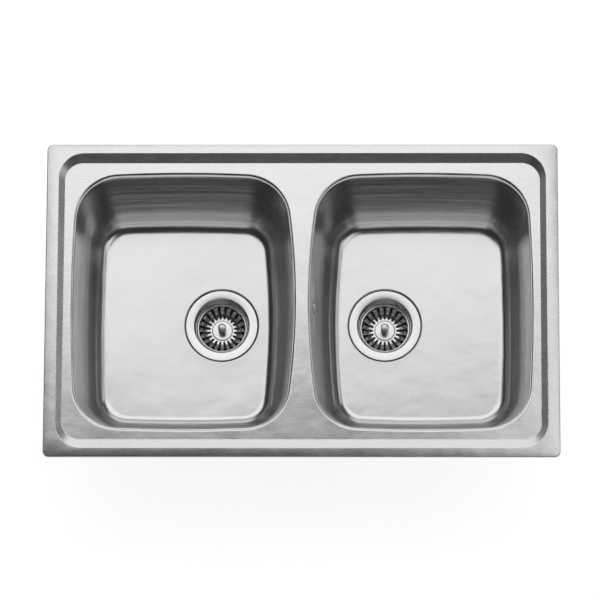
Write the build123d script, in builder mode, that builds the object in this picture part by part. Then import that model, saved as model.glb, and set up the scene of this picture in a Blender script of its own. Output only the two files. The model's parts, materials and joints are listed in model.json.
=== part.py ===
"""Double bowl kitchen sink with basket wastes, overflow and worktop clamps.

Millimetres. The origin is the centre of the sink in the plane of the worktop that
it sits on. +X runs to the right, +Y to the back and +Z up.
"""

from build123d import *
from math import atan2, cos, hypot, radians, sin
import os

os.makedirs("parts", exist_ok=True)

# ---------------------------------------------------------------------------
# Driving dimensions
# ---------------------------------------------------------------------------

sheet = 0.8  # stainless sheet of the deck, the bowls, the waste cups and the baskets

# Rim and recessed deck
sink_length = 800
sink_width = 500
rim_height = 3.0  # upper face of the rim above the worktop
rim_corner_r = 10
lip_r = 2.2  # outer edge, turned down on to the worktop
rim_land_side = 19  # flat rim at the left and the right
rim_land_end = 15  # flat rim at the front and the back
step_drop = 6.5
step_run_side = 10
step_run_end = 14
step_corner_r = 40
step_crest_r = 2.5
step_foot_r = 3.5

# Bowls
deck_land_side = 14.6  # flat deck between the step and a bowl's wall, left and right
deck_land_end = 19.15  # the same at the front and the back
bowl_depth = 170
divider_gap = 26.4  # between the bowls' walls, carried up to the deck
bowl_shift = -1.4  # centre of the bowls, forward of the middle of the sink
bowl_corner_r = 68
floor_corner_r = 52
side_draft_run = 25  # how far the left and right walls lean in over the depth
end_draft_run = 32  # how far the front and back walls lean in
divider_bow_r = 1100  # slow curve of the wall beside the divider
outer_bow_r = 2400
end_bow_r = 2200
bowl_roll_r = 4.5  # rolled edge between deck and wall
bowl_foot_r = 25  # between wall and floor
weld_land = 6  # from the wall's line to the weld seam in the deck

# Waste recess in the bowl's floor
waste_margin = 7.2  # flat floor between the recess and the foot of the wall beside the divider
recess_r = 59.4
recess_depth = 3.3
recess_draft = 35
recess_edge_r = 1.2
waste_hole_r = 45

# Waste: flange and cup
flange_gasket_height = 1.2
flange_r = 56.5
mouth_r = 43.7
mouth_edge_r = 2.5
seat_depth = 20  # ledge that carries the basket's rim
seat_r = 39.9
seat_width = 1.7
cup_depth = 52
cup_foot_r = 35
cup_floor_edge_r = 6
cup_hole_count = 8
cup_hole_r = 4.5
cup_hole_circle_r = 17.5

# Waste: body, gaskets and screw
gasket_margin = 1.0  # gaskets stay this far inside the flange's edge
body_gasket_height = 2.5
body_wall = 3.0
body_clearance = 1.5  # between the cup and the body round it
body_collar_height = 6
funnel_height = 18
outlet_r = 23.9  # G 1 1/2 pipe thread, outside
outlet_bore_r = 20
outlet_length = 24
boss_r = 7.5
boss_length = 20
boss_gap = 1.0  # left for the screw to pull the body up
rib_thickness = 2.5
rib_count = 4
rib_height = 12
rib_drop = 1.5  # top of the ribs, below the top of the boss
waste_screw_r = 3.0
waste_screw_head_r = 6.0
waste_screw_head_height = 2.6
waste_screw_length = 26
captive_nut_width = 10  # across the flats
captive_nut_height = 5

# Basket
basket_clearance = 0.3
basket_rim_r = 39.4
basket_rim_height = 1.6
basket_rim_width = 2.3
basket_rim_edge_r = 0.7
basket_top_r = 37.2
basket_foot_r = 32.0
basket_depth = 37.0
basket_edge_r = 4.0
dome_r = 16.6
dome_height = 1.3
slot_count = 20
slot_width = 3.3
slot_inner_r = 21
slot_top = 4.2  # solid band left under the basket's rim
knob_r = 6.4
knob_height = 25
knob_edge_r = 0.8
knob_dish_r = 4.6
knob_dish_depth = 0.5
pin_r = 3.0
pin_clearance = 0.15
pin_grip = 10  # how far the pin reaches into the knob
pin_head_r = 6
pin_head_height = 2
stopper_r = 29
stopper_height = 5
stopper_lip = 4
stopper_lip_height = 8.2

# Overflow, in the right bowl beside the divider
overflow_depth = 33  # below the deck
overflow_hole_count = 8
overflow_hole_r = 2.6
overflow_circle_r = 12.2
overflow_screw_r = 2.0
overflow_head_r = 4.2
overflow_head_height = 1.8
overflow_head_gap = 0.02  # the bowed wall falls back this far under the flat head
overflow_screw_length = 16
overflow_gasket_r = 20
overflow_gasket_bore_r = 15.6
overflow_gasket_height = 2
elbow_flange_height = 2.5
elbow_depth = 17
elbow_r = 17.6
elbow_wall = 2
elbow_boss_r = 4
elbow_axis_x = 4.5
elbow_length = 42  # from the overflow's centre down to the end of its spigot
spigot_r = 10.5
pipe_r = 7.5
pipe_wall = 1.5
pipe_clearance = 0.15
pipe_insert = 12
pipe_bend_r = 26
inlet_drop = 34.9  # overflow inlet, below the waste body's rim
inlet_reach = 70  # from the waste's centre to the end of the inlet
union_seal_height = 3
union_nut_wall = 2.5
union_nut_length = 16
union_nut_lip = 2.5
union_grip_count = 12
union_grip_r = 1.6

# Rim seal and sound pads
seal_gap = 1.6  # between the seal and the turned-down lip
seal_width = 6
pad_height = 2
pad_waste_gap = 13.6  # between the pad and the edge of the waste's recess
pad_side_margin = 3.6  # between the pad and the foot of the outer wall
pad_end_margin = 29.85  # between the pad and the feet of the front and back walls
pad_corner_r = 10

# Worktop clamps
clamp_front_spacing = 250
bracket_sheet = 1.5
bracket_width = 24
bracket_pad = 10
bracket_margin = 1.2  # between the pad and the foot of the step
bracket_height = 19.2
bracket_foot = 16
bracket_bend_r = 1.0
screw_axis_inset = 9  # screw axis, from the web of the bracket
clamp_screw_r = 3.0
thread_clearance = 0.3
clamp_collar_r = 5
clamp_collar_height = 2.5
clamp_screw_length = 45
clamp_screw_stand = 2.2  # screw end above the bracket's foot, at rest
clamp_head_width = 10  # across the flats
clamp_head_height = 4
screw_slot_width = 1.4
screw_slot_depth = 1.5
arm_sheet = 2.0
arm_width = 16
arm_heel = 8
arm_hub = 9
arm_rise = 21
arm_rise_run = 7
arm_toe = 12
arm_bend_r = 1.5
arm_rest_turn = -90  # arms lie along the rim until the sink is in its cut-out

# ---------------------------------------------------------------------------
# Places worked out from the sizes above
# ---------------------------------------------------------------------------

deck_z = rim_height - step_drop
deck_underside_z = deck_z - sheet
floor_z = deck_z - bowl_depth
step_length = sink_length - 2 * rim_land_side
step_width = sink_width - 2 * rim_land_end
bowl_length = (step_length - divider_gap) / 2 - step_run_side - deck_land_side
bowl_width = step_width - 2 * (step_run_end + deck_land_end)
bowl_x = (divider_gap + bowl_length) / 2
drain_shift = bowl_length / 2 - side_draft_run - bowl_foot_r - recess_r - waste_margin
drain_x = bowl_x - drain_shift
recess_z = floor_z - recess_depth
flange_z = recess_z + flange_gasket_height + sheet
body_gasket_z = recess_z - sheet
body_z = body_gasket_z - body_gasket_height
boss_z = flange_z - cup_depth - sheet - boss_gap
body_depth = body_z - boss_z + rib_drop + rib_height
dome_z = flange_z - basket_depth + sheet + dome_height
side_wall_angle = atan2(side_draft_run, bowl_depth)


def skin_growth(run, drop, skin):
    """How far a leaning wall moves sideways when its face moves out by skin."""
    return skin * hypot(run, drop) / drop


# ---------------------------------------------------------------------------
# Bowls
# ---------------------------------------------------------------------------


def bowed_outline(height, inset_x, inset_y, corner_r):
    """Outline of the left bowl: the overlap of four large discs, with rounded corners."""
    half_x = bowl_length / 2 - inset_x
    half_y = bowl_width / 2 - inset_y
    with BuildSketch(Plane((-bowl_x, bowl_shift, height))) as outline:
        with Locations((half_x - divider_bow_r, 0)):
            Circle(divider_bow_r)
        with Locations((outer_bow_r - half_x, 0)):
            Circle(outer_bow_r, mode=Mode.INTERSECT)
        with Locations((0, half_y - end_bow_r)):
            Circle(end_bow_r, mode=Mode.INTERSECT)
        with Locations((0, end_bow_r - half_y)):
            Circle(end_bow_r, mode=Mode.INTERSECT)
        fillet(outline.vertices(), corner_r)
    return outline.sketch


def bowl_collar(height):
    """Outline of the weld seam round the left bowl."""
    return bowed_outline(height, -weld_land, -weld_land, bowl_corner_r + weld_land)


def bowl_room(skin):
    """The room inside the left bowl, with its walls and floor moved out by skin."""
    depth = bowl_depth + skin
    lean = depth / bowl_depth
    grow_x = skin_growth(side_draft_run, bowl_depth, skin)
    grow_y = skin_growth(end_draft_run, bowl_depth, skin)
    top = bowed_outline(deck_z, -grow_x, -grow_y, bowl_corner_r + skin)
    floor = bowed_outline(
        deck_z - depth,
        side_draft_run * lean - grow_x,
        end_draft_run * lean - grow_y,
        floor_corner_r + skin,
    )
    with BuildPart() as room:
        loft(sections=[top, floor], ruled=True)
        fillet(room.faces().sort_by(Axis.Z)[0].edges(), bowl_foot_r + skin)
        with BuildSketch(Plane((-drain_x, bowl_shift, floor_z - skin))):
            Circle(recess_r + skin)
        extrude(amount=-recess_depth, taper=recess_draft)
        recess_floor = room.faces().sort_by(Axis.Z)[0]
        fillet(recess_floor.edges(), recess_edge_r + skin)
    return room.part


with BuildPart() as left_bowl:
    add(bowl_room(sheet))
    extrude(bowl_collar(deck_z), amount=-sheet)
    underside = left_bowl.edges().filter_by_position(Axis.Z, deck_underside_z, deck_underside_z)
    fillet([edge for edge in underside if edge.is_interior], bowl_roll_r - sheet)
    add(bowl_room(0), mode=Mode.SUBTRACT)
    collar = left_bowl.faces().filter_by(Plane.XY).sort_by(Axis.Z)[-1]
    fillet(collar.inner_wires().edges(), bowl_roll_r)
    level_faces = left_bowl.faces().filter_by(Plane.XY)
    bowl_floor = [f for f in level_faces if abs(f.center().Z - floor_z) < sheet / 2][0]
    fillet(bowl_floor.inner_wires().edges(), recess_edge_r)
    with BuildSketch(Plane((-drain_x, bowl_shift, floor_z))):
        Circle(waste_hole_r)
    extrude(amount=-2 * recess_depth, mode=Mode.SUBTRACT)
left_bowl.part.label = "left_bowl"
export_step(left_bowl.part, "parts/left_bowl.step")

# The overflow sits on the wall beside the divider, square to that leaning wall.
overflow_z = deck_z - overflow_depth
wall_in_x = divider_gap / 2 + side_draft_run * overflow_depth / bowl_depth
wall_out = Vector(-cos(side_wall_angle), 0, -sin(side_wall_angle))


def overflow_plane(behind):
    """Plane of the overflow, behind the wall's inner face, facing away from the bowl."""
    face = Vector(wall_in_x, bowl_shift, overflow_z)
    return Plane(face + wall_out * behind, x_dir=(0, 1, 0), z_dir=wall_out)


with BuildPart() as right_bowl:
    mirror(left_bowl.part, about=Plane.YZ)
    with BuildSketch(overflow_plane(-sheet)):
        Circle(overflow_screw_r + pipe_clearance)
        with PolarLocations(overflow_circle_r, overflow_hole_count):
            Circle(overflow_hole_r)
    extrude(amount=3 * sheet, mode=Mode.SUBTRACT)
right_bowl.part.label = "right_bowl"
export_step(right_bowl.part, "parts/right_bowl.step")

# ---------------------------------------------------------------------------
# Deck: rim, turned-down lip, sloped step and recessed deck
# ---------------------------------------------------------------------------


def step_room(skin):
    """The room inside the step, with its slope and floor moved out by skin."""
    depth = step_drop + skin
    lean = depth / step_drop
    grow_x = skin_growth(step_run_side, step_drop, skin)
    grow_y = skin_growth(step_run_end, step_drop, skin)
    run = (step_run_side + step_run_end) / 2
    with BuildPart() as room:
        with BuildSketch(Plane.XY.offset(rim_height)):
            RectangleRounded(step_length + 2 * grow_x, step_width + 2 * grow_y, step_corner_r + skin)
        with BuildSketch(Plane.XY.offset(deck_z - skin)):
            RectangleRounded(
                step_length - 2 * step_run_side * lean + 2 * grow_x,
                step_width - 2 * step_run_end * lean + 2 * grow_y,
                step_corner_r - run * lean + skin,
            )
        loft(ruled=True)
        fillet(room.faces().sort_by(Axis.Z)[0].edges(), step_foot_r + skin)
    return room.part


def rim_block(skin):
    """The rim as a block on the worktop, its faces moved in by skin."""
    with BuildPart() as block:
        with BuildSketch():
            RectangleRounded(sink_length - 2 * skin, sink_width - 2 * skin, rim_corner_r - skin)
        extrude(amount=rim_height - skin)
        fillet(block.faces().sort_by(Axis.Z)[-1].edges(), lip_r - skin)
    return block.part


with BuildPart() as sink_deck:
    add(rim_block(0))
    add(rim_block(sheet), mode=Mode.SUBTRACT)
    add(step_room(sheet))
    with BuildSketch(Plane.XY.offset(rim_height)):
        RectangleRounded(sink_length, sink_width, rim_corner_r)
    extrude(amount=rim_height, mode=Mode.SUBTRACT)
    rim_underside = sink_deck.edges().filter_by_position(
        Axis.Z, rim_height - sheet, rim_height - sheet
    )
    fillet([edge for edge in rim_underside if edge.is_interior], step_crest_r - sheet)
    add(step_room(0), mode=Mode.SUBTRACT)
    rim_face = sink_deck.faces().filter_by(Plane.XY).sort_by(Axis.Z)[-1]
    fillet(rim_face.inner_wires().edges(), step_crest_r)
    extrude(bowl_collar(deck_z), amount=-sheet, mode=Mode.SUBTRACT)
    extrude(mirror(bowl_collar(deck_z), about=Plane.YZ), amount=-sheet, mode=Mode.SUBTRACT)
sink_deck.part.label = "sink_deck"
export_step(sink_deck.part, "parts/sink_deck.step")

# Foam strip that the rim presses on to the worktop
with BuildPart() as rim_seal:
    inset = sheet + seal_gap
    with BuildSketch():
        RectangleRounded(sink_length - 2 * inset, sink_width - 2 * inset, rim_corner_r - inset)
        inset += seal_width
        RectangleRounded(
            sink_length - 2 * inset, sink_width - 2 * inset, seal_gap, mode=Mode.SUBTRACT
        )
    extrude(amount=rim_height - sheet)
rim_seal.part.label = "rim_seal"
export_step(rim_seal.part, "parts/rim_seal.step")

# Sound pads, glued under the bowls' floors away from the wastes
pad_inner = recess_r - drain_shift + pad_waste_gap
pad_outer = bowl_length / 2 - side_draft_run - bowl_foot_r - pad_side_margin
pad_width = bowl_width - 2 * (end_draft_run + bowl_foot_r + pad_end_margin)
for side, sign in (("left", -1), ("right", 1)):
    with BuildPart() as sound_pad:
        pad_x = sign * (bowl_x + (pad_inner + pad_outer) / 2)
        with BuildSketch(Plane((pad_x, bowl_shift, floor_z - sheet))):
            RectangleRounded(pad_outer - pad_inner, pad_width, pad_corner_r)
        extrude(amount=-pad_height)
    sound_pad.part.label = f"{side}_sound_pad"
    export_step(sound_pad.part, f"parts/{side}_sound_pad.step")

# ---------------------------------------------------------------------------
# Wastes
# ---------------------------------------------------------------------------


def section(x, y, z):
    """Upright plane for a round piece's profile: its x is the radius, its y the height."""
    return Plane((x, y, z), x_dir=(1, 0, 0), z_dir=(0, -1, 0))


def upright(x, y, z=0):
    """Vertical axis of a round piece."""
    return Axis((x, y, z), (0, 0, 1))


def make_waste(side, sign):
    """Cup, gaskets, body, screw and nut of one waste."""
    x = sign * drain_x
    axis = upright(x, bowl_shift)

    with BuildPart() as waste_cup:
        with BuildSketch(section(x, bowl_shift, flange_z)):
            with BuildLine():
                FilletPolyline(
                    (flange_r, 0),
                    (mouth_r, 0),
                    (seat_r, -seat_depth),
                    (seat_r - seat_width, -seat_depth),
                    (cup_foot_r, -cup_depth),
                    (waste_screw_r + pin_clearance, -cup_depth),
                    radius=(mouth_edge_r, seat_width / 2, seat_width / 2, cup_floor_edge_r),
                )
                offset(amount=sheet, side=Side.LEFT)
            make_face()
        revolve(axis=axis)
        with BuildSketch(Plane((x, bowl_shift, flange_z - cup_depth))):
            with PolarLocations(cup_hole_circle_r, cup_hole_count):
                Circle(cup_hole_r)
        extrude(amount=-2 * sheet, mode=Mode.SUBTRACT)
    waste_cup.part.label = f"{side}_waste_cup"
    export_step(waste_cup.part, f"parts/{side}_waste_cup.step")

    with BuildPart() as flange_gasket:
        with BuildSketch(Plane((x, bowl_shift, recess_z))):
            Circle(flange_r - gasket_margin)
            Circle(waste_hole_r + gasket_margin, mode=Mode.SUBTRACT)
        extrude(amount=flange_gasket_height)
    flange_gasket.part.label = f"{side}_flange_gasket"
    export_step(flange_gasket.part, f"parts/{side}_flange_gasket.step")

    with BuildPart() as body_gasket:
        with BuildSketch(Plane((x, bowl_shift, body_gasket_z))):
            Circle(flange_r - gasket_margin)
            Circle(waste_hole_r + gasket_margin, mode=Mode.SUBTRACT)
        extrude(amount=-body_gasket_height)
    body_gasket.part.label = f"{side}_body_gasket"
    export_step(body_gasket.part, f"parts/{side}_body_gasket.step")

    bore_top_r = mouth_r + sheet + body_clearance
    bore_foot_r = seat_r + sheet + body_clearance
    outlet_z = -body_depth - funnel_height
    with BuildPart() as waste_body:
        with BuildSketch(section(x, bowl_shift, body_z)):
            with BuildLine():
                Polyline(
                    (bore_top_r, 0),
                    (flange_r, 0),
                    (flange_r, -body_collar_height),
                    (bore_top_r + body_wall, -body_collar_height - body_wall),
                    (bore_foot_r + body_wall, -body_depth),
                    (outlet_r, outlet_z),
                    (outlet_r, outlet_z - outlet_length),
                    (outlet_bore_r, outlet_z - outlet_length),
                    (outlet_bore_r, outlet_z),
                    (bore_foot_r, -body_depth),
                    (bore_top_r, 0),
                )
            make_face()
        revolve(axis=axis)
        with BuildSketch(Plane((x, bowl_shift, boss_z))):
            Circle(boss_r)
        extrude(amount=-boss_length)
        with BuildSketch(Plane((x, bowl_shift, body_z - body_depth))):
            for turn in range(rib_count):
                Rectangle(
                    bore_foot_r + body_wall / 2,
                    rib_thickness,
                    rotation=turn * 360 / rib_count,
                    align=(Align.MIN, Align.CENTER),
                )
        extrude(amount=rib_height)
        if side == "right":
            inlet_z = body_z - inlet_drop
            inlet_end = Plane((x - inlet_reach, bowl_shift, inlet_z), x_dir=(0, 1, 0), z_dir=(1, 0, 0))
            with BuildSketch(inlet_end):
                Circle(spigot_r)
            extrude(amount=inlet_reach - bore_foot_r - body_wall / 2)
            with BuildSketch(inlet_end):
                Circle(pipe_r + pipe_clearance)
            extrude(amount=inlet_reach - bore_foot_r + body_wall, mode=Mode.SUBTRACT)
        with BuildSketch(Plane((x, bowl_shift, boss_z))):
            Circle(waste_screw_r + pin_clearance)
        extrude(amount=-boss_length, mode=Mode.SUBTRACT)
        with BuildSketch(Plane((x, bowl_shift, boss_z - boss_length))):
            RegularPolygon(captive_nut_width / 2 + pin_clearance, 6, major_radius=False)
        extrude(amount=captive_nut_height, mode=Mode.SUBTRACT)
    waste_body.part.label = f"{side}_waste_body"
    export_step(waste_body.part, f"parts/{side}_waste_body.step")

    with BuildPart() as captive_nut:
        with BuildSketch(Plane((x, bowl_shift, boss_z - boss_length))):
            RegularPolygon(captive_nut_width / 2, 6, major_radius=False)
            Circle(waste_screw_r, mode=Mode.SUBTRACT)
        extrude(amount=captive_nut_height)
    captive_nut.part.label = f"{side}_captive_nut"
    export_step(captive_nut.part, f"parts/{side}_captive_nut.step")

    with BuildPart() as waste_screw:
        with BuildSketch(Plane((x, bowl_shift, flange_z - cup_depth))):
            Circle(waste_screw_head_r)
        extrude(amount=waste_screw_head_height)
        fillet(waste_screw.edges().group_by(Axis.Z)[-1], waste_screw_head_height / 2)
        with BuildSketch(Plane((x, bowl_shift, flange_z - cup_depth))):
            Circle(waste_screw_r)
        extrude(amount=-waste_screw_length)
        with BuildSketch(Plane((x, bowl_shift, flange_z - cup_depth + waste_screw_head_height))):
            Rectangle(2 * waste_screw_head_r, screw_slot_width)
        extrude(amount=-screw_slot_depth, mode=Mode.SUBTRACT)
    waste_screw.part.label = f"{side}_waste_screw"
    export_step(waste_screw.part, f"parts/{side}_waste_screw.step")


make_waste("left", -1)
make_waste("right", 1)

# ---------------------------------------------------------------------------
# Baskets: strainer, knob, pin and rubber stopper, which lift out together
# ---------------------------------------------------------------------------


def make_basket(side, sign, first_slot):
    """Strainer basket, resting in its cup, with the first slot at the given angle."""
    x = sign * drain_x
    axis = upright(x, bowl_shift)
    rim_foot = -seat_depth + basket_clearance
    rim_top = rim_foot + basket_rim_height
    pin_hole_r = pin_r + pin_clearance

    with BuildPart() as basket:
        with BuildSketch(section(x, bowl_shift, flange_z)):
            with BuildLine():
                FilletPolyline(
                    (basket_top_r, rim_top),
                    (basket_foot_r, -basket_depth + sheet),
                    (dome_r, -basket_depth + sheet),
                    (dome_r - dome_height, -basket_depth + sheet + dome_height),
                    (pin_hole_r, -basket_depth + sheet + dome_height),
                    radius=(basket_edge_r, dome_height / 2, dome_height / 2),
                )
                offset(amount=sheet, side=Side.LEFT)
            make_face()
        revolve(axis=axis)
        with BuildSketch(section(x, bowl_shift, flange_z)):
            with Locations((basket_rim_r, rim_foot)):
                Rectangle(
                    basket_rim_width, basket_rim_height, align=(Align.MAX, Align.MIN)
                )
        revolve(axis=axis)
        fillet(
            basket.edges().filter_by(GeomType.CIRCLE).sort_by(SortBy.RADIUS)[-2:],
            basket_rim_edge_r,
        )
        slot_length = basket_rim_r - slot_inner_r
        slot_height = basket_depth + rim_foot - slot_top
        with BuildSketch(Plane((x, bowl_shift, flange_z - basket_depth))):
            for number in range(slot_count):
                turn = first_slot + number * 360 / slot_count
                with Locations(Location((0, 0), turn)):
                    with Locations((slot_inner_r, 0)):
                        Rectangle(slot_length, slot_width, align=(Align.MIN, Align.CENTER))
        extrude(amount=slot_height, mode=Mode.SUBTRACT)
    basket.part.label = f"{side}_basket"
    export_step(basket.part, f"parts/{side}_basket.step")

    with BuildPart() as knob:
        with BuildSketch(Plane((x, bowl_shift, dome_z))):
            Circle(knob_r)
        extrude(amount=knob_height)
        fillet(knob.edges().group_by(Axis.Z)[-1], knob_edge_r)
        with BuildSketch(Plane((x, bowl_shift, dome_z + knob_height))):
            Circle(knob_dish_r)
        extrude(amount=-knob_dish_depth, taper=45, mode=Mode.SUBTRACT)
        with BuildSketch(Plane((x, bowl_shift, dome_z))):
            Circle(pin_hole_r)
        extrude(amount=pin_grip, mode=Mode.SUBTRACT)
    knob.part.label = f"{side}_basket_knob"
    export_step(knob.part, f"parts/{side}_basket_knob.step")

    stopper_foot = flange_z - cup_depth + basket_clearance
    with BuildPart() as stopper:
        with BuildSketch(section(x, bowl_shift, flange_z - basket_depth)):
            with BuildLine():
                Polyline(
                    (pin_hole_r, dome_height),
                    (dome_r - 2 * dome_height - sheet, dome_height),
                    (dome_r - dome_height, 0),
                    (stopper_r, 0),
                    (stopper_r, -stopper_lip_height),
                    (stopper_r - stopper_lip, -stopper_height),
                    (pin_hole_r, -stopper_height),
                    (pin_hole_r, dome_height),
                )
            make_face()
        revolve(axis=axis)
    stopper.part.label = f"{side}_basket_stopper"
    export_step(stopper.part, f"parts/{side}_basket_stopper.step")

    pin_foot = flange_z - basket_depth - stopper_height
    with BuildPart() as pin:
        with BuildSketch(Plane((x, bowl_shift, pin_foot))):
            Circle(pin_r)
        extrude(amount=dome_z + pin_grip - pin_foot)
        with BuildSketch(Plane((x, bowl_shift, pin_foot))):
            Circle(pin_head_r)
        extrude(amount=-pin_head_height)
        fillet(pin.edges().group_by(Axis.Z)[0], pin_head_height / 2)
    pin.part.label = f"{side}_basket_pin"
    export_step(pin.part, f"parts/{side}_basket_pin.step")


half_pitch = 180 / slot_count
make_basket("left", -1, half_pitch)
make_basket("right", 1, 0)

# ---------------------------------------------------------------------------
# Overflow
# ---------------------------------------------------------------------------

with BuildPart() as overflow_gasket:
    with BuildSketch(overflow_plane(sheet)):
        Circle(overflow_gasket_r)
        Circle(overflow_gasket_bore_r, mode=Mode.SUBTRACT)
    extrude(amount=overflow_gasket_height)
overflow_gasket.part.label = "overflow_gasket"
export_step(overflow_gasket.part, "parts/overflow_gasket.step")

elbow_face = sheet + overflow_gasket_height
spigot_end_z = overflow_z - elbow_length
with BuildPart() as overflow_elbow:
    with BuildSketch(overflow_plane(elbow_face)):
        Circle(overflow_gasket_r)
    extrude(amount=elbow_flange_height)
    with BuildSketch(overflow_plane(elbow_face)):
        Circle(elbow_r)
    extrude(amount=elbow_depth)
    fillet(overflow_elbow.edges().filter_by(GeomType.CIRCLE).sort_by(Axis.X)[0], elbow_wall)
    with BuildSketch(Plane((elbow_axis_x, bowl_shift, spigot_end_z))):
        Circle(spigot_r)
    extrude(amount=elbow_length - elbow_r / 2)
    with BuildSketch(overflow_plane(elbow_face)):
        Circle(elbow_r - elbow_wall)
        Circle(elbow_boss_r, mode=Mode.SUBTRACT)
    extrude(amount=elbow_depth - elbow_wall, mode=Mode.SUBTRACT)
    with BuildSketch(overflow_plane(elbow_face)):
        Circle(overflow_screw_r)
    extrude(amount=overflow_screw_length - elbow_face, mode=Mode.SUBTRACT)
    with BuildSketch(Plane((elbow_axis_x, bowl_shift, spigot_end_z))):
        Circle(pipe_r + pipe_clearance)
    extrude(amount=elbow_length - elbow_r / 2, mode=Mode.SUBTRACT)
overflow_elbow.part.label = "overflow_elbow"
export_step(overflow_elbow.part, "parts/overflow_elbow.step")

with BuildPart() as overflow_screw:
    with BuildSketch(overflow_plane(-overflow_head_gap)):
        Circle(overflow_head_r)
    extrude(amount=-overflow_head_height)
    fillet(overflow_screw.edges().sort_by(Axis.X)[-1], overflow_head_height / 2)
    with BuildSketch(overflow_plane(-overflow_head_gap)):
        Circle(overflow_screw_r)
    extrude(amount=overflow_screw_length)
overflow_screw.part.label = "overflow_screw"
export_step(overflow_screw.part, "parts/overflow_screw.step")

inlet_height = body_z - inlet_drop
inlet_end_x = drain_x - inlet_reach
pipe_top = spigot_end_z + pipe_insert
with BuildPart() as overflow_pipe:
    with BuildLine() as pipe_route:
        FilletPolyline(
            (elbow_axis_x, bowl_shift, pipe_top),
            (elbow_axis_x, bowl_shift, inlet_height),
            (inlet_end_x + pipe_insert, bowl_shift, inlet_height),
            radius=pipe_bend_r,
        )
    with BuildSketch(Plane((elbow_axis_x, bowl_shift, pipe_top), z_dir=(0, 0, -1))):
        Circle(pipe_r)
        Circle(pipe_r - pipe_wall, mode=Mode.SUBTRACT)
    sweep(path=pipe_route.line)
overflow_pipe.part.label = "overflow_pipe"
export_step(overflow_pipe.part, "parts/overflow_pipe.step")


def make_union(name, end):
    """Seal and nut that hold the pipe in a spigot; end is the spigot's end face, facing out."""
    seal_bore_r = pipe_r + pipe_clearance
    nut_bore_r = spigot_r + pipe_clearance
    lip_face = end.offset(union_seal_height)

    with BuildPart() as union_seal:
        with BuildSketch(end):
            Circle(spigot_r)
            Circle(seal_bore_r, mode=Mode.SUBTRACT)
        extrude(amount=union_seal_height)
    union_seal.part.label = f"{name}_seal"
    export_step(union_seal.part, f"parts/{name}_seal.step")

    with BuildPart() as union_nut:
        with BuildSketch(lip_face.offset(union_nut_lip)):
            Circle(nut_bore_r + union_nut_wall)
            with PolarLocations(nut_bore_r + union_nut_wall, union_grip_count):
                Circle(union_grip_r)
        extrude(amount=-union_nut_length)
        with BuildSketch(lip_face):
            Circle(nut_bore_r)
        extrude(amount=-union_nut_length, mode=Mode.SUBTRACT)
        with BuildSketch(lip_face):
            Circle(seal_bore_r)
        extrude(amount=union_nut_lip, mode=Mode.SUBTRACT)
    union_nut.part.label = f"{name}_nut"
    export_step(union_nut.part, f"parts/{name}_nut.step")


make_union("overflow_upper", Plane((elbow_axis_x, bowl_shift, spigot_end_z), z_dir=(0, 0, -1)))
make_union("overflow_lower", Plane((inlet_end_x, bowl_shift, inlet_height), z_dir=(-1, 0, 0)))

# ---------------------------------------------------------------------------
# Worktop clamps: welded brackets, and a screw with a swinging arm in each
# ---------------------------------------------------------------------------

bracket_reach = bracket_margin + bracket_pad - screw_axis_inset
clamp_y = step_width / 2 - step_run_end - bracket_reach
clamp_x = step_length / 2 - step_run_side - bracket_reach
clamp_seats = [(spot, -clamp_y, -90) for spot in (-clamp_front_spacing, 0, clamp_front_spacing)]
clamp_seats += [(spot, clamp_y, 90) for spot in (-clamp_front_spacing, 0, clamp_front_spacing)]
clamp_seats += [(-clamp_x, bowl_shift, 180), (clamp_x, bowl_shift, 0)]


def seat_plane(seat, height, swing=0):
    """Plane at a clamp's screw axis: its z points up, its x out to the rim, turned by swing."""
    x, y, turn = seat
    heading = radians(turn + swing)
    return Plane((x, y, height), x_dir=(cos(heading), sin(heading), 0), z_dir=(0, 0, 1))


def seat_section(seat, height, swing=0):
    """Upright plane across a clamp: its y points up, its x out to the rim, turned by swing."""
    flat = seat_plane(seat, height, swing)
    return Plane(flat.origin, x_dir=flat.x_dir, z_dir=flat.x_dir.cross(flat.z_dir))


foot_z = deck_underside_z - bracket_height
screw_top_z = foot_z + bracket_sheet + clamp_screw_stand
head_z = screw_top_z - clamp_screw_length

with BuildPart() as clamp_brackets:
    for seat in clamp_seats:
        with BuildSketch(seat_section(seat, deck_underside_z)):
            with BuildLine():
                FilletPolyline(
                    (bracket_pad - screw_axis_inset, 0),
                    (-screw_axis_inset, 0),
                    (-screw_axis_inset, -bracket_height),
                    (bracket_foot - screw_axis_inset, -bracket_height),
                    radius=bracket_bend_r + bracket_sheet,
                )
                offset(amount=bracket_sheet, side=Side.LEFT)
            make_face()
        extrude(amount=bracket_width / 2, both=True)
        with BuildSketch(seat_plane(seat, foot_z)):
            Circle(clamp_collar_r)
        extrude(amount=-clamp_collar_height)
        with BuildSketch(seat_plane(seat, foot_z - clamp_collar_height)):
            Circle(clamp_screw_r + thread_clearance)
        extrude(amount=clamp_collar_height + bracket_sheet, mode=Mode.SUBTRACT)
clamp_brackets.part.label = "clamp_brackets"
export_step(clamp_brackets.part, "parts/clamp_brackets.step")

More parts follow.
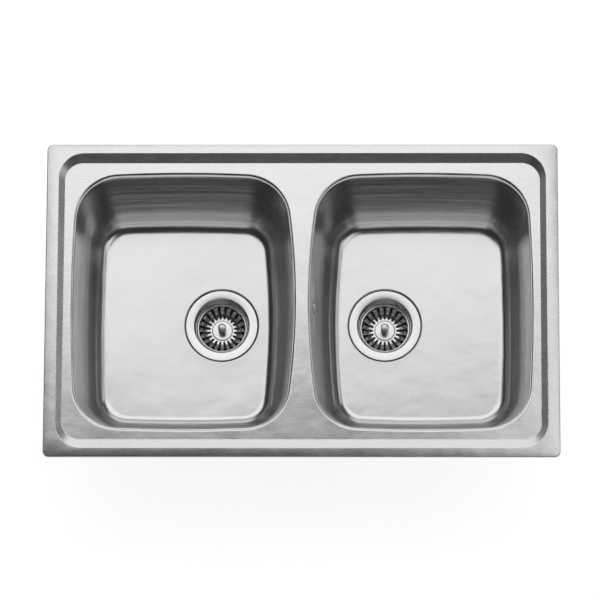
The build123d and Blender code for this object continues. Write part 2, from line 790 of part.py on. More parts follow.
for number, seat in enumerate(clamp_seats, start=1):
    with BuildPart() as clamp_screw:
        with BuildSketch(seat_plane(seat, head_z)):
            Circle(clamp_screw_r)
        extrude(amount=clamp_screw_length)
        with BuildSketch(seat_plane(seat, head_z)):
            RegularPolygon(clamp_head_width / 2, 6, major_radius=False)
        extrude(amount=-clamp_head_height)
        with BuildSketch(seat_plane(seat, head_z - clamp_head_height)):
            Rectangle(2 * clamp_head_width, screw_slot_width)
        extrude(amount=screw_slot_depth, mode=Mode.SUBTRACT)
    clamp_screw.part.label = f"clamp_screw_{number}"
    export_step(clamp_screw.part, f"parts/clamp_screw_{number}.step")

    with BuildPart() as clamp_arm:
        with BuildSketch(seat_section(seat, head_z, arm_rest_turn)):
            with BuildLine():
                FilletPolyline(
                    (-arm_heel, 0),
                    (arm_hub, 0),
                    (arm_hub + arm_rise_run, arm_rise),
                    (arm_hub + arm_rise_run + arm_toe, arm_rise),
                    radius=arm_bend_r,
                )
                offset(amount=arm_sheet, side=Side.LEFT)
            make_face()
        extrude(amount=arm_width / 2, both=True)
        with BuildSketch(seat_plane(seat, head_z)):
            Circle(clamp_screw_r + thread_clearance)
        extrude(amount=arm_sheet, mode=Mode.SUBTRACT)
    clamp_arm.part.label = f"clamp_arm_{number}"
    export_step(clamp_arm.part, f"parts/clamp_arm_{number}.step")
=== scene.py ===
# %% [markdown]
# # A double bowl kitchen sink
#
# The object is an inset sink of thin stainless sheet: a rim and a recessed deck pressed
# from one sheet, two deep-drawn bowls welded into it, and a basket waste in each bowl.
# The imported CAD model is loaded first, as a frame that never moves. Every piece made here
# takes its place and size from that frame, in metres.

import bpy
import bmesh
import json
from math import asin, atan2, cos, hypot, pi, radians, sin, sqrt, tan
from mathutils import Matrix, Vector


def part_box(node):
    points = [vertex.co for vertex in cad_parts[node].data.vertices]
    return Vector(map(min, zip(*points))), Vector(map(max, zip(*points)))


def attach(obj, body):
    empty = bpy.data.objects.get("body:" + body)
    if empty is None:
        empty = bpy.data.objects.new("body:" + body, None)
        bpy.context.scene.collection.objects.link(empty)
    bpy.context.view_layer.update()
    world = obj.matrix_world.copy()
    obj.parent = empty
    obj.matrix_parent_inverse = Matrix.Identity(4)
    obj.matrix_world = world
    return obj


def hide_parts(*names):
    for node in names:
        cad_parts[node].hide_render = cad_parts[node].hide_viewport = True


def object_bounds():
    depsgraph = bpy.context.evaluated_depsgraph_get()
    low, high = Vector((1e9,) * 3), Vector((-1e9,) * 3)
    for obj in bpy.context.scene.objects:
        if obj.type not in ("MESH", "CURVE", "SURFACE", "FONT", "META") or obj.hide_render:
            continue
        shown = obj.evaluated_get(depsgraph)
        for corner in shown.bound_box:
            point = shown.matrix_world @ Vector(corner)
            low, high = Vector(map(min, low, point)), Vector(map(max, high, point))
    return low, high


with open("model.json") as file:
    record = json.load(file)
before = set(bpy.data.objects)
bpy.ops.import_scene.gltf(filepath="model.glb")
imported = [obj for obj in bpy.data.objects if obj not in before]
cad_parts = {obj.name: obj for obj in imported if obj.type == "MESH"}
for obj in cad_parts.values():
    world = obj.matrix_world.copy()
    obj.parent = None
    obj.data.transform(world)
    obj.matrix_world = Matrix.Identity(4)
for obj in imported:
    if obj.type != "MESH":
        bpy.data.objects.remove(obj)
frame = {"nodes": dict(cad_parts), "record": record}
cad_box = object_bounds()
nodes = frame["nodes"]

# %% [markdown]
# ## The camera
#
# The photograph looks down on the sink from its front, 13 degrees off the vertical, with
# hardly any convergence. So the camera stands far away behind a long lens. It could be
# turned by hand, but aiming it at one point of the rim keeps the framing in one place.

# %% Camera
VIEW_TILT = radians(13.2)
VIEW_TURN = radians(0.8)  # the camera also stands a little to the right
CAMERA_DISTANCE = 7.0
VIEW_WIDTH = 0.932  # what the picture's width spans in the plane of the rim
AIM = Vector((-0.0028, -0.0010, 0.003))

camera_data = bpy.data.cameras.new("photo_camera")
camera_data.sensor_width = 36
camera_data.lens = 36 * CAMERA_DISTANCE / VIEW_WIDTH
camera_data.clip_end = 100
camera = bpy.data.objects.new("photo_camera", camera_data)
bpy.context.scene.collection.objects.link(camera)
towards_camera = Vector((sin(VIEW_TURN), -sin(VIEW_TILT), cos(VIEW_TILT))).normalized()
camera.location = AIM + towards_camera * CAMERA_DISTANCE
level = (Vector((1, 0, 0)) - towards_camera * towards_camera.x).normalized()
axes = Matrix((level, towards_camera.cross(level), towards_camera)).transposed()
camera.rotation_euler = axes.to_euler()
bpy.context.scene.camera = camera
print("lens", round(camera_data.lens, 1), "mm at", CAMERA_DISTANCE, "m")

# %% [markdown]
# ## Sizes shared by the pieces
#
# These repeat the CAD model's own dimensions. Naming them once means that each mesh below
# can be read as a drawing of its piece, and that two pieces that meet share a number.

# %% Sizes
MM = 0.001
SHEET = 0.8 * MM
SINK_HALF_X, SINK_HALF_Y = 0.4, 0.25
RIM_Z = 3.0 * MM
DECK_Z = -3.5 * MM
BOWL_DEPTH = 170 * MM
FLOOR_Z = DECK_Z - BOWL_DEPTH
BOWL_X = 184.8 * MM
BOWL_Y = -1.4 * MM
BOWL_CORNER_R = 68 * MM
DRAIN_X = 129.8 * MM
RECESS_R = 59.4 * MM
RECESS_DEPTH = 3.3 * MM
FLANGE_Z = FLOOR_Z - RECESS_DEPTH + 2.0 * MM
EDGE_ANGLE = 35  # degrees: an edge sharper than this stays crisp
SHEET_ANGLE = 60  # the same for pressed sheet, whose bends are all softer than this
WELD_GAP = 0.001 * MM
print("floor", round(FLOOR_Z, 4), "flange", round(FLANGE_Z, 4))

# %% [markdown]
# ## Making meshes from rings
#
# Pressed and drawn sheet is a stack of closed rings: each ring is the outline at one
# station of the profile. Joining neighbouring rings with quads gives a mesh that shades
# smoothly, which a bright metal needs far more than a dull one does.

# %% Mesh helpers
def new_piece(name, points, faces, edge_angle=EDGE_ANGLE):
    """A mesh object at the origin. Edges sharper than edge_angle stay crisp."""
    mesh = bpy.data.meshes.new(name)
    mesh.from_pydata([tuple(p) for p in points], [], faces)
    piece = bpy.data.objects.new(name, mesh)
    bpy.context.scene.collection.objects.link(piece)
    crisp(mesh, edge_angle)
    return piece


def crisp(mesh, edge_angle):
    """Shades the mesh smooth, and marks the edges sharper than edge_angle."""
    shaped = bmesh.new()
    shaped.from_mesh(mesh)
    for face in shaped.faces:
        face.smooth = True
    for edge in shaped.edges:
        edge.smooth = not edge.is_manifold or edge.calc_face_angle(0) < radians(edge_angle)
    shaped.to_mesh(mesh)
    shaped.free()


def joined_rings(rings):
    """Faces of quads between neighbouring rings of one length, the first ring outermost."""
    faces = []
    count = len(rings[0])
    for level in range(len(rings) - 1):
        for spot in range(count):
            beside = (spot + 1) % count
            near = level * count
            faces.append((near + spot, near + beside, near + count + beside, near + count + spot))
    return faces


def outward(piece):
    """Turns the faces of a closed piece to look outwards."""
    shaped = bmesh.new()
    shaped.from_mesh(piece.data)
    bmesh.ops.recalc_face_normals(shaped, faces=shaped.faces)
    shaped.to_mesh(piece.data)
    shaped.free()
    return piece


def weld(piece):
    """Joins the points that coincide, and drops those that no face uses."""
    shaped = bmesh.new()
    shaped.from_mesh(piece.data)
    bmesh.ops.remove_doubles(shaped, verts=shaped.verts, dist=WELD_GAP)
    bmesh.ops.delete(shaped, geom=[v for v in shaped.verts if not v.link_faces], context="VERTS")
    shaped.to_mesh(piece.data)
    shaped.free()
    return piece


def thicken(piece, back_finish=False):
    """Gives a surface its sheet thickness, away from the side that its faces look to.

    back_finish gives the new back the piece's second material.
    """
    wall = piece.modifiers.new("sheet", "SOLIDIFY")
    wall.thickness = SHEET
    if back_finish:
        piece.data.materials.append(None)
        piece.data.materials.append(None)
        wall.material_offset = 1
    wall.offset = -1
    wall.use_even_offset = True
    return piece


def flatten_modifiers(piece, edge_angle=EDGE_ANGLE):
    """Replaces the piece's mesh by what its modifiers make of it."""
    seen = piece.evaluated_get(bpy.context.evaluated_depsgraph_get())
    mesh = bpy.data.meshes.new_from_object(seen)
    piece.modifiers.clear()
    piece.data = mesh
    crisp(mesh, edge_angle)
    return piece


def stand_for(piece, body, slot, *replaced):
    """The piece rides on a body and hides the CAD nodes it stands for. The slot is not used."""
    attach(piece, body)
    if replaced:
        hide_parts(*replaced)
    return piece


# %% [markdown]
# ## The deck
#
# The rim slopes a little down to its outer edge, which is turned on to the worktop. Inside
# it a step leads down to the deck. Each of those bends is an arc, so the profile lists
# arcs, and every ring is a rectangle with rounded corners. Only the flat deck isn't made
# of rings: it has two bowl openings, and a planar fill closes what is between them.

# %% Outlines
SIDE_STEPS = 36
CORNER_STEPS = 20


def rounded_rectangle(half_x, half_y, corner_r, z):
    """Closed outline, anticlockwise seen from above, with the same steps at every size."""
    ring = []
    for quarter in range(4):
        turn = quarter * pi / 2
        along_x = quarter % 2 == 1
        sx = 1 if quarter in (0, 3) else -1
        sy = 1 if quarter in (0, 1) else -1
        centre = Vector((sx * (half_x - corner_r), sy * (half_y - corner_r), z))
        for step in range(CORNER_STEPS + 1):
            angle = turn + step / CORNER_STEPS * pi / 2
            ring.append(centre + corner_r * Vector((cos(angle), sin(angle), 0)))
        last = ring[-1]
        run = 2 * (half_x - corner_r) if not along_x else 2 * (half_y - corner_r)
        heading = Vector((-sin(turn + pi / 2), cos(turn + pi / 2), 0))
        for step in range(1, SIDE_STEPS):
            ring.append(last + heading * run * step / SIDE_STEPS)
    return ring


def disc_corner(first, first_r, second, second_r, corner_r, towards):
    """Centre of a corner arc of corner_r that touches two large discs from inside."""
    a, b = first_r - corner_r, second_r - corner_r
    apart = second - first
    d = apart.length
    along = (a * a - b * b + d * d) / (2 * d)
    across = sqrt(a * a - along * along)
    middle = first + apart / d * along
    square = Vector((-apart.y, apart.x)) / d
    return max((middle + square * across, middle - square * across), key=lambda p: p.dot(towards))


BOWL_HALF_X, BOWL_HALF_Y = 171.6 * MM, 201.85 * MM
DIVIDER_ARC_R, OUTER_ARC_R, END_ARC_R = 1.1, 2.4, 2.2


def bowl_outline(inset_x, inset_y, corner_r):
    """Outline of the left bowl about its own centre: four slow arcs with rounded corners."""
    half_x, half_y = BOWL_HALF_X - inset_x, BOWL_HALF_Y - inset_y
    discs = [
        (Vector((half_x - DIVIDER_ARC_R, 0)), DIVIDER_ARC_R),
        (Vector((0, half_y - END_ARC_R)), END_ARC_R),
        (Vector((OUTER_ARC_R - half_x, 0)), OUTER_ARC_R),
        (Vector((0, END_ARC_R - half_y)), END_ARC_R),
    ]
    corners = []
    for number in range(4):
        (c1, r1), (c2, r2) = discs[number], discs[(number + 1) % 4]
        towards = Vector(((1, 1), (-1, 1), (-1, -1), (1, -1))[number])
        centre = disc_corner(c1, r1, c2, r2, corner_r, towards)
        corners.append((centre, (centre - c1).normalized(), (centre - c2).normalized()))
    ring = []
    for number in range(4):
        centre, enters, leaves = corners[number]
        start = atan2(enters.y, enters.x)
        sweep = (atan2(leaves.y, leaves.x) - start) % (2 * pi)
        for step in range(CORNER_STEPS + 1):
            angle = start + sweep * step / CORNER_STEPS
            ring.append(centre + corner_r * Vector((cos(angle), sin(angle))))
        disc, disc_r = discs[(number + 1) % 4]
        onwards = corners[(number + 1) % 4][1]
        start = atan2(leaves.y, leaves.x)
        sweep = (atan2(onwards.y, onwards.x) - start) % (2 * pi)
        for step in range(1, SIDE_STEPS):
            angle = start + sweep * step / SIDE_STEPS
            ring.append(disc + disc_r * Vector((cos(angle), sin(angle))))
    return ring


print("points in an outline", len(bowl_outline(0, 0, BOWL_CORNER_R)))

# %% Deck profile
WELD_LAND = 6 * MM
RIM_FALL = 0.55 * MM  # the rim's outer edge lies lower than its crest
RIM_SIDE, STEP_SIDE = 19 * MM, 10 * MM  # across the short sides
RIM_END, STEP_END = 15 * MM, 14 * MM  # across the long sides
LIP_R, CREST_R, FOOT_R = 2.2 * MM, 2.5 * MM, 3.5 * MM
OUTER_CORNER_R, LEAST_CORNER_R = 10 * MM, 6 * MM
STEP_CORNER_R = 40 * MM  # at the crest of the step


def bend(corner, before, after, radius, steps=7):
    """Points of an arc that rounds the corner between two points of a flat profile."""
    corner, before, after = Vector(corner), Vector(before), Vector(after)
    u, v = (before - corner).normalized(), (after - corner).normalized()
    half = u.angle(v) / 2
    reach = radius / tan(half)
    centre = corner + (u + v).normalized() * radius / sin(half)
    first, last = corner + u * reach - centre, corner + v * reach - centre
    turn = first.angle_signed(last)
    points = []
    for step in range(steps + 1):
        angle = -turn * step / steps
        points.append(centre + Vector((first.x * cos(angle) - first.y * sin(angle),
                                       first.x * sin(angle) + first.y * cos(angle))))
    return points


def deck_stations(rim_land, step_run):
    """Profile across one edge of the deck: (distance in from the edge, height)."""
    lip = (0, RIM_Z - RIM_FALL)
    crest, foot = (rim_land, RIM_Z), (rim_land + step_run, DECK_Z)
    flat = (foot[0] + 8 * MM, DECK_Z)
    points = [Vector((0, 0))]
    points += bend(lip, (0, 0), crest, LIP_R)
    points += bend(crest, lip, foot, CREST_R)
    points += bend(foot, crest, flat, FOOT_R)
    points += [points[-1] + Vector((0.4 * MM, 0))]
    return points


side_stations = deck_stations(RIM_SIDE, STEP_SIDE)
end_stations = deck_stations(RIM_END, STEP_END)
print("stations across the deck's edge", len(side_stations))

# %% Build the deck
def deck_ring(side, end):
    """One ring of the deck; side and end are its stations on the short and the long sides."""
    inset_x, inset_y = side.x, end.x
    if inset_x < RIM_SIDE / 2:
        corner_r = max(OUTER_CORNER_R - min(inset_x, inset_y), LEAST_CORNER_R)
    else:
        corner_r = STEP_CORNER_R + (RIM_SIDE + RIM_END) / 2 - (inset_x + inset_y) / 2
    return rounded_rectangle(SINK_HALF_X - inset_x, SINK_HALF_Y - inset_y, corner_r,
                             (side.y + end.y) / 2)


rings = [deck_ring(side, end) for side, end in zip(side_stations, end_stations)]
points = [p for ring in rings for p in ring]
faces = joined_rings(rings)
deck = new_piece("deck_sheet", points, faces, SHEET_ANGLE)


def collar_points(sign):
    """Points of the weld seam round one bowl, in the deck's plane."""
    seam = bowl_outline(-WELD_LAND, -WELD_LAND, BOWL_CORNER_R + WELD_LAND)
    return [Vector((sign * (BOWL_X - p.x), BOWL_Y + p.y, DECK_Z)) for p in seam]


shaped = bmesh.new()
shaped.from_mesh(deck.data)
open_edges = [e for e in shaped.edges if e.is_boundary and e.verts[0].co.z < -3 * MM]
for sign in (-1, 1):
    loop = [shaped.verts.new(p) for p in collar_points(sign)]
    open_edges += [shaped.edges.new((loop[i - 1], loop[i])) for i in range(len(loop))]
bmesh.ops.triangle_fill(shaped, edges=open_edges, use_beauty=True, normal=(0, 0, 1))
bmesh.ops.recalc_face_normals(shaped, faces=shaped.faces)
if sum(face.normal.z for face in shaped.faces if face.is_valid) < 0:
    bmesh.ops.reverse_faces(shaped, faces=shaped.faces)
shaped.to_mesh(deck.data)
shaped.free()
crisp(deck.data, SHEET_ANGLE)
flatten_modifiers(thicken(deck), SHEET_ANGLE)
stand_for(deck, "sink", "brushed_stainless", "sink_deck")
print("deck faces", len(deck.data.polygons))

# %% [markdown]
# ## The bowls
#
# A drawn bowl has a rolled edge, walls that lean in, a wide radius at the foot and a floor
# that falls a little to the waste, so that water runs off. The floor's fall is too small
# to see as a shape, but it decides what the floor reflects, so it is in the mesh. The walls
# bow out by a millimetre or so for the same reason. The right bowl's wall is pressed flat
# again round the overflow, so that the gasket behind it lies against the sheet. Both bowls
# come from one function, mirrored by the sign of x.

# %% Bowl stations
ROLL_R, WALL_FOOT_R = 6.5 * MM, 25 * MM
SIDE_RUN, END_RUN = 25 * MM, 32 * MM
FLOOR_FALL = 2.2 * MM
WALL_BOW = 1.5 * MM  # the drawn walls bulge out this much half way down
WALL_STEPS, ROLL_STEPS, FOOT_STEPS, FLOOR_STEPS = 16, 10, 14, 24
CORNER_TAPER = 16 * MM  # the corners' radius shrinks by this on the way down
SIDES_REACH, ENDS_REACH = 170 * MM, 200 * MM  # weigh the side's profile against the end's


def wall_bow(share):
    """How far the wall bulges out at a share of the way down it."""
    return WALL_BOW * 4 * share * (1 - share)


def wall_stations(run):
    """Profile down one wall, from the weld seam to the floor: (inset, height)."""
    edge, foot = (0, DECK_Z), (run, FLOOR_Z)
    land, inner = (-WELD_LAND, DECK_Z), (run + 60 * MM, FLOOR_Z)
    points = [Vector(land)]
    points += bend(edge, land, foot, ROLL_R, ROLL_STEPS)
    top = points[-1]
    lower = bend(foot, edge, inner, WALL_FOOT_R, FOOT_STEPS)
    for step in range(1, WALL_STEPS):
        share = step / WALL_STEPS
        points.append(top.lerp(lower[0], share) - Vector((wall_bow(share), 0)))
    return points + lower + [lower[-1] + Vector((0.5 * MM, 0))]


def bowl_ring(side, end):
    """One ring of the left bowl, about its centre."""
    depth = (DECK_Z - (side.y + end.y) / 2) / BOWL_DEPTH
    wall_x, wall_y = SIDE_RUN * depth, END_RUN * depth
    beyond = (side.x - wall_x + end.x - wall_y) / 2
    corner_r = BOWL_CORNER_R - CORNER_TAPER * depth - beyond
    outline = bowl_outline(side.x, end.x, corner_r)
    ring = []
    for p in outline:
        sideways, endways = abs(p.x) / SIDES_REACH, abs(p.y) / ENDS_REACH
        across = sideways / (sideways + endways)
        ring.append(Vector((p.x, p.y, side.y * across + end.y * (1 - across))))
    return ring


FLOOR_HOLE_R = RECESS_R + 1.0 * MM
RECESS_BEND_R = 1.2 * MM
RECESS_SLOPE = radians(35)  # of its side, off the vertical
WASTE_HOLE_R = 45 * MM


def floor_rings(last_ring):
    """Rings from the wall's foot to the waste recess, falling towards it."""
    drain = Vector((BOWL_X - DRAIN_X, 0))
    rings = []
    for step in range(1, FLOOR_STEPS + 1):
        share = step / FLOOR_STEPS
        ring = []
        for p in last_ring:
            out = Vector((p.x, p.y)) - drain
            round_point = drain + out.normalized() * FLOOR_HOLE_R
            spot = Vector((p.x, p.y)).lerp(round_point, share)
            ring.append(Vector((spot.x, spot.y, FLOOR_Z)))
        rings.append(ring)
    return rings


def recess_rings(angles):
    """Rings of the recess that holds the waste's flange, down to the waste hole."""
    drain = Vector((BOWL_X - DRAIN_X, 0))
    low_r = RECESS_R - RECESS_DEPTH * tan(RECESS_SLOPE)
    low_z = FLOOR_Z - RECESS_DEPTH
    top, foot, hole = (RECESS_R, FLOOR_Z), (low_r, low_z), (WASTE_HOLE_R, low_z)
    stations = bend(top, (RECESS_R + 4 * MM, FLOOR_Z), foot, RECESS_BEND_R, 4)
    stations += bend(foot, top, hole, RECESS_BEND_R, 4)
    stations.append(Vector(hole))
    return [[Vector((drain.x + s.x * cos(a), drain.y + s.x * sin(a), s.y)) for a in angles]
            for s in stations]


side_wall, end_wall = wall_stations(SIDE_RUN), wall_stations(END_RUN)
bowl_rings = [bowl_ring(side, end) for side, end in zip(side_wall, end_wall)]
flat_rings = floor_rings(bowl_rings[-1])
angles = [atan2(p.y, p.x - (BOWL_X - DRAIN_X)) for p in bowl_rings[-1]]
bowl_rings += flat_rings + recess_rings(angles)
print("rings in a bowl", len(bowl_rings), "points", len(bowl_rings) * len(bowl_rings[0]))


# %% Build the bowls
OVERFLOW_DEPTH = 33 * MM
OVERFLOW_Z = DECK_Z - OVERFLOW_DEPTH
OVERFLOW_SIDE = 60 * MM  # x: the wall with the overflow is nearer to the divider than this
SEAT_R, SEAT_EDGE_R = 26 * MM, 48 * MM  # flat out to one, fading out to the other
FALL_EASE, FALL_REACH = 30 * MM, 150 * MM  # how softly the floor's fall starts, and its run
WALL_TOP_Z, WALL_LOW_Z = (side_wall[number].y for number in (1 + ROLL_STEPS, -2 - FOOT_STEPS))


def floor_lift(x, y, z):
    """How far the falling floor stands above the flat one, zero at the waste recess."""
    if z > FLOOR_Z + WALL_FOOT_R:
        return 0
    out = max(0, hypot(x - (BOWL_X - DRAIN_X), y) - FLOOR_HOLE_R)
    share = out * out / (out + FALL_EASE) / FALL_REACH
    fade = max(0, 1 - (z - FLOOR_Z) / WALL_FOOT_R) if z > FLOOR_Z else 1
    return FLOOR_FALL * share * fade


def overflow_seat(x, y, z):
    """How far the wall's bow is pressed back round the overflow, where its gasket sits flat."""
    out = hypot(y - BOWL_Y, z - OVERFLOW_Z)
    if x > OVERFLOW_SIDE or out > SEAT_EDGE_R:
        return 0
    share = max(0, min(1, (WALL_TOP_Z - z) / (WALL_TOP_Z - WALL_LOW_Z)))
    fade = min(1, (SEAT_EDGE_R - out) / (SEAT_EDGE_R - SEAT_R))
    return wall_bow(share) * fade * fade * (3 - 2 * fade)


def build_bowl(name, sign):
    """The shell of one bowl. Its plan is the left bowl's, mirrored for the right one."""
    points = []
    for ring in bowl_rings:
        for p in ring:
            lift = floor_lift(p.x, p.y, p.z) if p.z >= FLOOR_Z - 0.01 * MM else 0
            x, y = sign * (BOWL_X - p.x), BOWL_Y + p.y
            if sign > 0:
                x += overflow_seat(x, y, p.z)
            points.append(Vector((x, y, p.z + lift)))
    faces = joined_rings(bowl_rings)
    if sign > 0:
        faces = [tuple(reversed(face)) for face in faces]
    return new_piece(name, points, faces, SHEET_ANGLE)


left_bowl = build_bowl("left_bowl_shell", -1)
right_bowl = build_bowl("right_bowl_shell", 1)
for bowl in (left_bowl, right_bowl):
    print(bowl.name, len(bowl.data.polygons), "normal of the floor",
          round(bowl.data.polygons[-1].normal.z, 2))

# %% [markdown]
# ## The overflow holes
#
# The overflow is a ring of round holes in the right bowl's wall, with a screw in the
# middle. The wall gets its sheet thickness first, so that each hole cut by a boolean has a
# real edge. A cutter's faces have to look outwards, because a boolean with one whose faces
# look inwards takes nothing away. The wall's mesh is fine there, which keeps the cut's
# slivers small enough not to smear the shading of a mirror-like sheet.

# %% Cut the overflow
HOLE_COUNT, HOLE_R, HOLE_RING_R = 8, 2.6 * MM, 12.2 * MM
WALL_ANGLE = atan2(SIDE_RUN, BOWL_DEPTH)
WALL_IN_X = BOWL_X - BOWL_HALF_X + SIDE_RUN * OVERFLOW_DEPTH / BOWL_DEPTH
WALL_OUT = Vector((-cos(WALL_ANGLE), 0, -sin(WALL_ANGLE)))
OVERFLOW = Vector((WALL_IN_X, BOWL_Y, OVERFLOW_Z))
OVERFLOW_UP = Vector((0, 1, 0)).cross(WALL_OUT)


def about_overflow(turn):
    """The direction in the wall's plane that a turn about the overflow's axis leads to."""
    return Vector((0, 1, 0)) * cos(turn) + OVERFLOW_UP * sin(turn)


def drill(name, centre):
    """A round cutter along the overflow's axis."""
    points, sides = [], 24
    for depth in (-4 * MM, 5 * MM):
        for step in range(sides):
            ring = about_overflow(2 * pi * step / sides)
            points.append(centre + WALL_OUT * depth + ring * HOLE_R)
    faces = joined_rings([points[:sides], points[sides:]])
    faces += [tuple(reversed(range(sides))), tuple(range(sides, 2 * sides))]
    return outward(new_piece(name, points, faces))


def cut(piece, cutters):
    """Takes the cutters out of the piece, and the cutters out of the scene."""
    for cutter in cutters:
        step = piece.modifiers.new("cut", "BOOLEAN")
        step.operation, step.solver, step.object = "DIFFERENCE", "EXACT", cutter
    flatten_modifiers(piece, SHEET_ANGLE)
    for cutter in cutters:
        bpy.data.objects.remove(cutter)


thicken(right_bowl, back_finish=True)
flatten_modifiers(right_bowl, SHEET_ANGLE)
cutters = []
for number in range(HOLE_COUNT):
    spot = OVERFLOW + about_overflow(2 * pi * number / HOLE_COUNT) * HOLE_RING_R
    cutters.append(drill(f"drill_{number}", spot))
print("right bowl faces before drilling", len(right_bowl.data.polygons))
cut(right_bowl, cutters)
print("right bowl faces after drilling", len(right_bowl.data.polygons))

flatten_modifiers(thicken(left_bowl, back_finish=True), SHEET_ANGLE)
stand_for(left_bowl, "sink", "brushed_stainless", "left_bowl")
stand_for(right_bowl, "sink", "brushed_stainless", "right_bowl")

# %% [markdown]
# ## The wastes
#
# A waste is a round flange that runs down into a cup, all from one sheet. Turned pieces
# like this are a profile of radii and heights swept round an axis, so one helper makes
# the cups, the drills for their holes, the strainers' rims and the knobs.

# %% Turned pieces
def turned(name, profile, x, closed=False, sides=96, y=BOWL_Y, edge_angle=EDGE_ANGLE):
    """Sweeps a profile of (radius, height) round a vertical axis at x, y."""
    rings = [[Vector((x + r * cos(2 * pi * s / sides), y + r * sin(2 * pi * s / sides), z))
              for s in range(sides)] for r, z in profile]
    if closed:
        rings.append(rings[0])
    points = [p for ring in rings for p in ring]
    piece = weld(new_piece(name, points, joined_rings(rings), edge_angle))
    crisp(piece.data, edge_angle)
    return piece


def rounded_profile(corners, radii, steps=5):
    """A profile whose inner corners are rounded with the radii given, in millimetres."""
    points = [Vector(corners[0]) * MM]
    for number, radius in enumerate(radii, start=1):
        before, corner, after = (Vector(c) * MM for c in corners[number - 1:number + 2])
        points += bend(corner, before, after, radius * MM, steps)
    return points + [Vector(corners[-1]) * MM]


CUP_PROFILE = rounded_profile(
    [(56.5, 0), (43.7, 0), (39.9, -20), (38.2, -20), (35, -52), (3.15, -52)],
    [1.3, 0.85, 0.85, 6])
CUP_FLOOR_Z = FLANGE_Z - 52 * MM
CUP_HOLE_COUNT, CUP_HOLE_R, CUP_HOLE_RING_R = 8, 4.5 * MM, 17.5 * MM
CUP_DRILL = [(r, CUP_FLOOR_Z + height) for r, height in
             ((0, 2 * MM), (CUP_HOLE_R, 2 * MM), (CUP_HOLE_R, -3 * MM), (0, -3 * MM))]
for side, sign in (("left", -1), ("right", 1)):
    profile = [(p.x, FLANGE_Z + p.y) for p in CUP_PROFILE]
    cup = turned(f"{side}_waste_flange", profile, sign * DRAIN_X, sides=144)
    flatten_modifiers(thicken(cup))
    cutters = []
    for number in range(CUP_HOLE_COUNT):
        a = 2 * pi * number / CUP_HOLE_COUNT
        hole_x = sign * DRAIN_X + CUP_HOLE_RING_R * cos(a)
        hole_y = BOWL_Y + CUP_HOLE_RING_R * sin(a)
        cutter = turned(f"cup_drill_{number}", CUP_DRILL, hole_x, sides=20, y=hole_y)
        cutters.append(outward(cutter))
    cut(cup, cutters)
    stand_for(cup, "sink", "brushed_stainless", f"{side}_waste_cup")
    print(cup.name, len(cup.data.polygons))

# %% [markdown]
# ## The baskets
#
# Twenty slots run down each strainer's wall and across its floor to a plain disc. They
# repeat, so one sector of eighteen degrees, a bar with half a slot at each side, is made as
# a mesh, and Geometry Nodes turn it round the axis twenty times and weld the copies.

# %% One sector of the strainer
SLOTS = 20
SECTOR = 2 * pi / SLOTS
BASKET_PATH = rounded_profile(
    [(37.2, -18.1), (32.0, -36.2), (16.6, -36.2), (15.3, -34.9), (3.15, -34.9)],
    [15.5, 0.65, 0.65], 9)
SLOT_HALF = 1.65 * MM
SLOT_TOP, SLOT_INNER_R = -23.9 * MM, 18.6 * MM
SLOT_WALL_R = 31 * MM  # beyond this radius the slots run up the wall


def dense(path, spacing):
    """The same path with more points, so that slot ends can be shaped."""
    points = [path[0]]
    for before, after in zip(path, path[1:]):
        count = max(1, int((after - before).length / spacing))
        points += [before.lerp(after, step / count) for step in range(1, count + 1)]
    return points


def slot_half_at(point):
    """Half the slot's width where the path is at this radius and height, round at its ends."""
    if point.y > SLOT_TOP or point.x < SLOT_INNER_R:
        return 0
    from_end = point.x - SLOT_INNER_R
    if point.x > SLOT_WALL_R:
        from_end = min(from_end, SLOT_TOP - point.y)
    if from_end >= SLOT_HALF:
        return SLOT_HALF
    return sqrt(SLOT_HALF ** 2 - (SLOT_HALF - from_end) ** 2)


def sector_mesh(name):
    """A bar of the strainer and half a slot at each of its sides."""
    path = dense(BASKET_PATH, 0.8 * MM)
    columns, points, faces = 6, [], []
    for p in path:
        half_slot = slot_half_at(p)
        bar = SECTOR / 2 - asin(min(1, half_slot / p.x))
        inner = [bar * (2 * column / columns - 1) for column in range(columns + 1)]
        angles = [-SECTOR / 2] + inner + [SECTOR / 2]
        points += [Vector((p.x * cos(a), p.x * sin(a), p.y)) for a in angles]
    wide = columns + 3
    for level in range(len(path) - 1):
        open_here = slot_half_at(path[level]) > 0 or slot_half_at(path[level + 1]) > 0
        for column in range(wide - 1):
            if open_here and column in (0, wide - 2):
                continue
            near = level * wide + column
            faces.append((near, near + 1, near + wide + 1, near + wide))
    return weld(new_piece(name, points, faces))


sector = sector_mesh("strainer_sector")
print("faces in one sector", len(sector.data.polygons))

# %% Geometry Nodes that turn a piece round an axis
def socket(tree, name, kind, value=None, output=False):
    """Adds a named socket to a node tree and returns it."""
    made = tree.interface.new_socket(name, in_out="OUTPUT" if output else "INPUT", socket_type=kind)
    if value is not None:
        made.default_value = value
    return made


